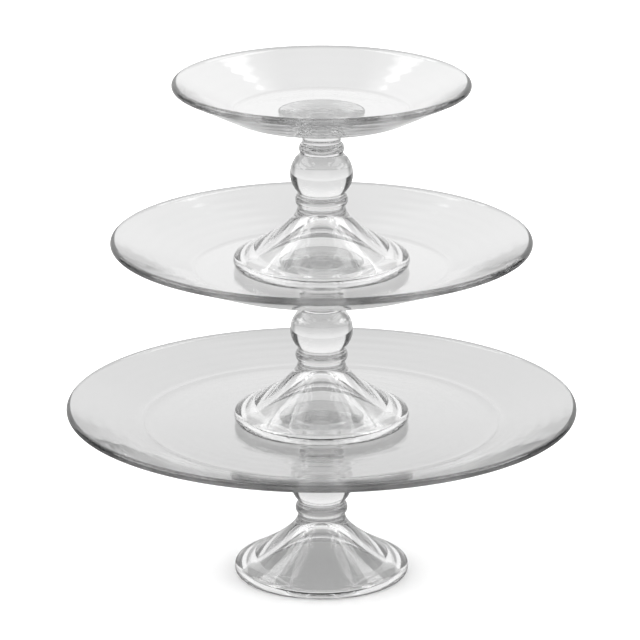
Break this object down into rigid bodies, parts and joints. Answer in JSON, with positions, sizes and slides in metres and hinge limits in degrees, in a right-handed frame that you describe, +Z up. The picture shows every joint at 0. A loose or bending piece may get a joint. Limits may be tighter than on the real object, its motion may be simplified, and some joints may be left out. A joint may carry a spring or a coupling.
{
  "type": "tiered cake stand",
  "caption": "Tiered cake stand of clear glass footed plates, largest at the bottom, each with a ball stem and a hollow bell foot that stands on the floor of the plate below.",
  "frame": {"origin": "middle of the lowest foot's underside, on the surface the stand rests on", "axes": "+Z up along the common axis of all tiers; the part is a body of revolution, so +X and +Y are free"},
  "size_m": [0.3298, 0.3298, 0.3302],
  "materials": {
    "plate_glass": "clear, fire-polished pressed glass",
    "pedestal_glass": "clear, fire-polished pressed glass",
    "clear_glue": "cured clear adhesive, faintly cloudy"
  },
  "bodies": {
    "large_tier": {"large_pedestal": "pedestal_glass", "large_glue": "clear_glue", "large_plate": "plate_glass"},
    "medium_tier": {"medium_pedestal": "pedestal_glass", "medium_glue": "clear_glue", "medium_plate": "plate_glass"},
    "small_tier": {"small_pedestal": "pedestal_glass", "small_glue": "clear_glue", "small_plate": "plate_glass"}
  },
  "joints": [
    {"name": "medium_lift", "type": "slide", "parent": "large_tier", "child": "medium_tier", "axis": [0, 0, 1], "range_m": [0, 0.1]},
    {"name": "small_lift", "type": "slide", "parent": "medium_tier", "child": "small_tier", "axis": [0, 0, 1], "range_m": [0, 0.1]}
  ]
}
